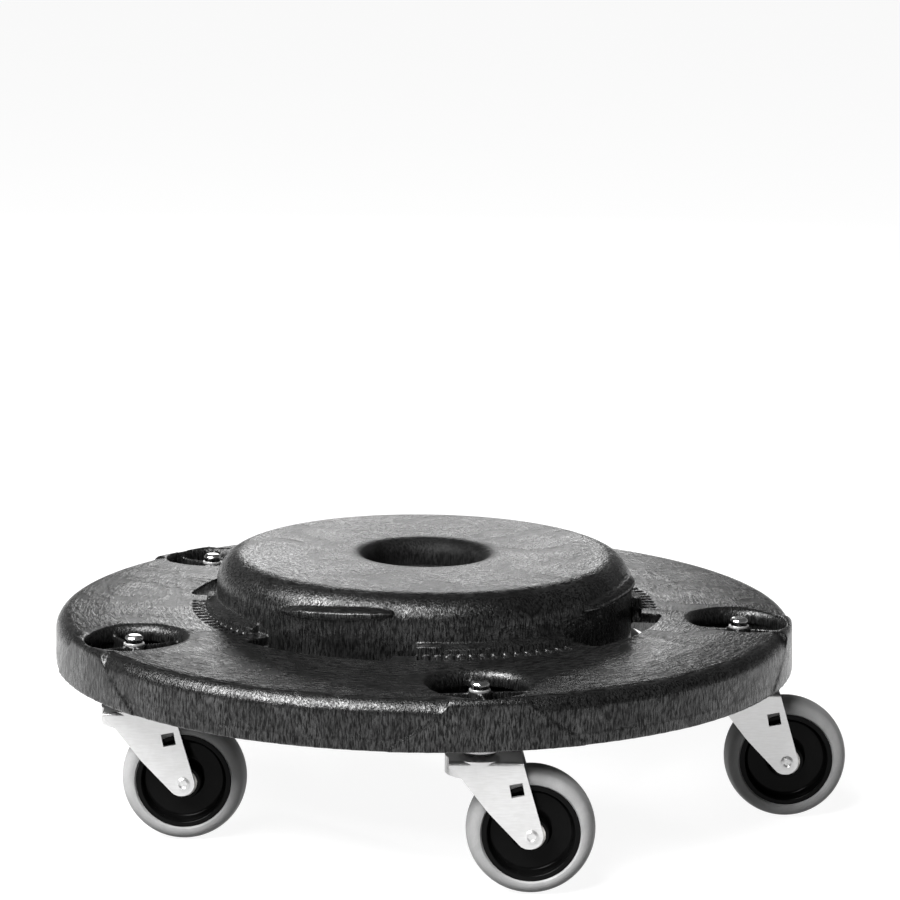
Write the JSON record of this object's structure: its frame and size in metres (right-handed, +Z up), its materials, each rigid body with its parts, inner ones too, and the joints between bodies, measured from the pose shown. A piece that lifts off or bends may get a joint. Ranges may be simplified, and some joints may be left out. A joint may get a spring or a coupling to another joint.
{
  "type": "plant pot caddy",
  "caption": "Round moulded dolly with a raised twist-on hub and swivel casters, for rolling a heavy plant pot or a round container.",
  "frame": {"origin": "on the floor under the centre of the deck and hub", "axes": "+Z up through the hub's centre hole; +X the way every caster trails at rest"},
  "size_m": [0.4977, 0.4648, 0.16],
  "materials": {
    "deck_plastic": "satin",
    "zinc_plate": "bright zinc",
    "race_steel": "zinc",
    "nut_chrome": "polished",
    "ball_steel": "polished",
    "core_plastic": "gloss",
    "sleeve_nylon": "satin",
    "tyre_rubber": "smooth matt"
  },
  "bodies": {
    "root": {"deck": "deck_plastic", "stem_1": "zinc_plate", "stem_washer_1": "zinc_plate", "stem_nut_1": "nut_chrome", "top_race_1": "race_steel", "stem_2": "zinc_plate", "stem_washer_2": "zinc_plate", "stem_nut_2": "nut_chrome", "top_race_2": "race_steel", "stem_3": "zinc_plate", "stem_washer_3": "zinc_plate", "stem_nut_3": "nut_chrome", "top_race_3": "race_steel", "stem_4": "zinc_plate", "stem_washer_4": "zinc_plate", "stem_nut_4": "nut_chrome", "top_race_4": "race_steel", "stem_5": "zinc_plate", "stem_washer_5": "zinc_plate", "stem_nut_5": "nut_chrome", "top_race_5": "race_steel"},
    "swivel_1": {"fork_1": "zinc_plate", "swivel_balls_1": "ball_steel", "axle_1": "zinc_plate", "thrust_washers_1": "sleeve_nylon"},
    "wheel_1": {"axle_sleeve_1": "sleeve_nylon", "wheel_core_1": "core_plastic", "tyre_1": "tyre_rubber"},
    "swivel_2": {"fork_2": "zinc_plate", "swivel_balls_2": "ball_steel", "axle_2": "zinc_plate", "thrust_washers_2": "sleeve_nylon"},
    "wheel_2": {"axle_sleeve_2": "sleeve_nylon", "wheel_core_2": "core_plastic", "tyre_2": "tyre_rubber"},
    "swivel_3": {"fork_3": "zinc_plate", "swivel_balls_3": "ball_steel", "axle_3": "zinc_plate", "thrust_washers_3": "sleeve_nylon"},
    "wheel_3": {"axle_sleeve_3": "sleeve_nylon", "wheel_core_3": "core_plastic", "tyre_3": "tyre_rubber"},
    "swivel_4": {"fork_4": "zinc_plate", "swivel_balls_4": "ball_steel", "axle_4": "zinc_plate", "thrust_washers_4": "sleeve_nylon"},
    "wheel_4": {"axle_sleeve_4": "sleeve_nylon", "wheel_core_4": "core_plastic", "tyre_4": "tyre_rubber"},
    "swivel_5": {"fork_5": "zinc_plate", "swivel_balls_5": "ball_steel", "axle_5": "zinc_plate", "thrust_washers_5": "sleeve_nylon"},
    "wheel_5": {"axle_sleeve_5": "sleeve_nylon", "wheel_core_5": "core_plastic", "tyre_5": "tyre_rubber"}
  },
  "joints": [
    {"name": "swivel_turn_1", "type": "hinge", "parent": "root", "child": "swivel_1", "pos_m": [0.03283, -0.19617, 0.085], "axis": [0, 0, 1], "continuous": true},
    {"name": "wheel_spin_1", "type": "hinge", "parent": "swivel_1", "child": "wheel_1", "pos_m": [0.06363, -0.19617, 0.0381], "axis": [0, 1, 0], "continuous": true},
    {"name": "swivel_turn_2", "type": "hinge", "parent": "root", "child": "swivel_2", "pos_m": [0.19672, -0.0294, 0.085], "axis": [0, 0, 1], "continuous": true},
    {"name": "wheel_spin_2", "type": "hinge", "parent": "swivel_2", "child": "wheel_2", "pos_m": [0.22751, -0.0294, 0.0381], "axis": [0, 1, 0], "continuous": true},
    {"name": "swivel_turn_3", "type": "hinge", "parent": "root", "child": "swivel_3", "pos_m": [0.08875, 0.178, 0.085], "axis": [0, 0, 1], "continuous": true},
    {"name": "wheel_spin_3", "type": "hinge", "parent": "swivel_3", "child": "wheel_3", "pos_m": [0.11955, 0.178, 0.0381], "axis": [0, 1, 0], "continuous": true},
    {"name": "swivel_turn_4", "type": "hinge", "parent": "root", "child": "swivel_4", "pos_m": [-0.14187, 0.13941, 0.085], "axis": [0, 0, 1], "continuous": true},
    {"name": "wheel_spin_4", "type": "hinge", "parent": "swivel_4", "child": "wheel_4", "pos_m": [-0.11107, 0.13941, 0.0381], "axis": [0, 1, 0], "continuous": true},
    {"name": "swivel_turn_5", "type": "hinge", "parent": "root", "child": "swivel_5", "pos_m": [-0.17643, -0.09184, 0.085], "axis": [0, 0, 1], "continuous": true},
    {"name": "wheel_spin_5", "type": "hinge", "parent": "swivel_5", "child": "wheel_5", "pos_m": [-0.14563, -0.09184, 0.0381], "axis": [0, 1, 0], "continuous": true}
  ]
}
